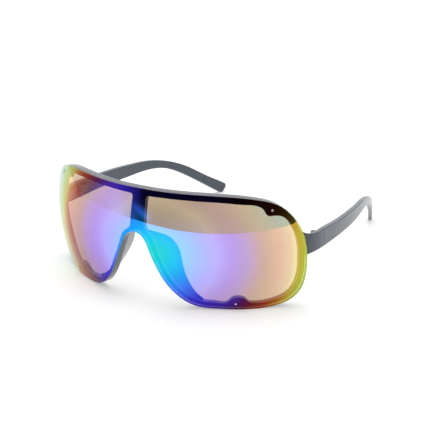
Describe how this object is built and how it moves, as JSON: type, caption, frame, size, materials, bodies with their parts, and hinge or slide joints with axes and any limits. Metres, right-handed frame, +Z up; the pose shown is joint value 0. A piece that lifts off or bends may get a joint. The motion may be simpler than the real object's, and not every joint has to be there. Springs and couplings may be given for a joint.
{
  "type": "shield sunglasses",
  "caption": "Wraparound shield sunglasses: a spherical mirrored lens pinned to the front of a moulded frame with nose flanges, and temples that fold on screw hinges.",
  "frame": {"origin": "on the table, under the middle of the open glasses", "axes": "+X to the wearer's left, the lens faces -Y, +Z up"},
  "size_m": [0.1466, 0.1692, 0.0573],
  "materials": {
    "mirror_lens": "polycarbonate with a rainbow mirror coat, partly see-through",
    "slate_plastic": "satin slate grey moulding",
    "sleeve_plastic": "black sleeve",
    "pin_steel": "polished pin",
    "hinge_steel": "plain steel"
  },
  "bodies": {
    "front": {"shield_lens": "mirror_lens", "frame_front": "slate_plastic", "lens_bush_upper_left": "sleeve_plastic", "lens_pin_upper_left": "pin_steel", "lens_bush_upper_right": "sleeve_plastic", "lens_pin_upper_right": "pin_steel", "lens_bush_lower_left": "sleeve_plastic", "lens_pin_lower_left": "pin_steel", "lens_bush_lower_right": "sleeve_plastic", "lens_pin_lower_right": "pin_steel", "hinge_front_leaf_left": "hinge_steel", "hinge_screw_left": "hinge_steel", "hinge_front_leaf_right": "hinge_steel", "hinge_screw_right": "hinge_steel"},
    "temple_left": {"temple_left": "slate_plastic", "hinge_temple_leaf_left": "hinge_steel"},
    "temple_right": {"temple_right": "slate_plastic", "hinge_temple_leaf_right": "hinge_steel"}
  },
  "joints": [
    {"name": "temple_left_fold", "type": "hinge", "parent": "front", "child": "temple_left", "pos_m": [0.06858, -0.03346, 0.03045], "axis": [0, 0, 1], "range_deg": [0, 90]},
    {"name": "temple_right_fold", "type": "hinge", "parent": "front", "child": "temple_right", "pos_m": [-0.06858, -0.03346, 0.03045], "axis": [0, 0, -1], "range_deg": [0, 82]}
  ]
}
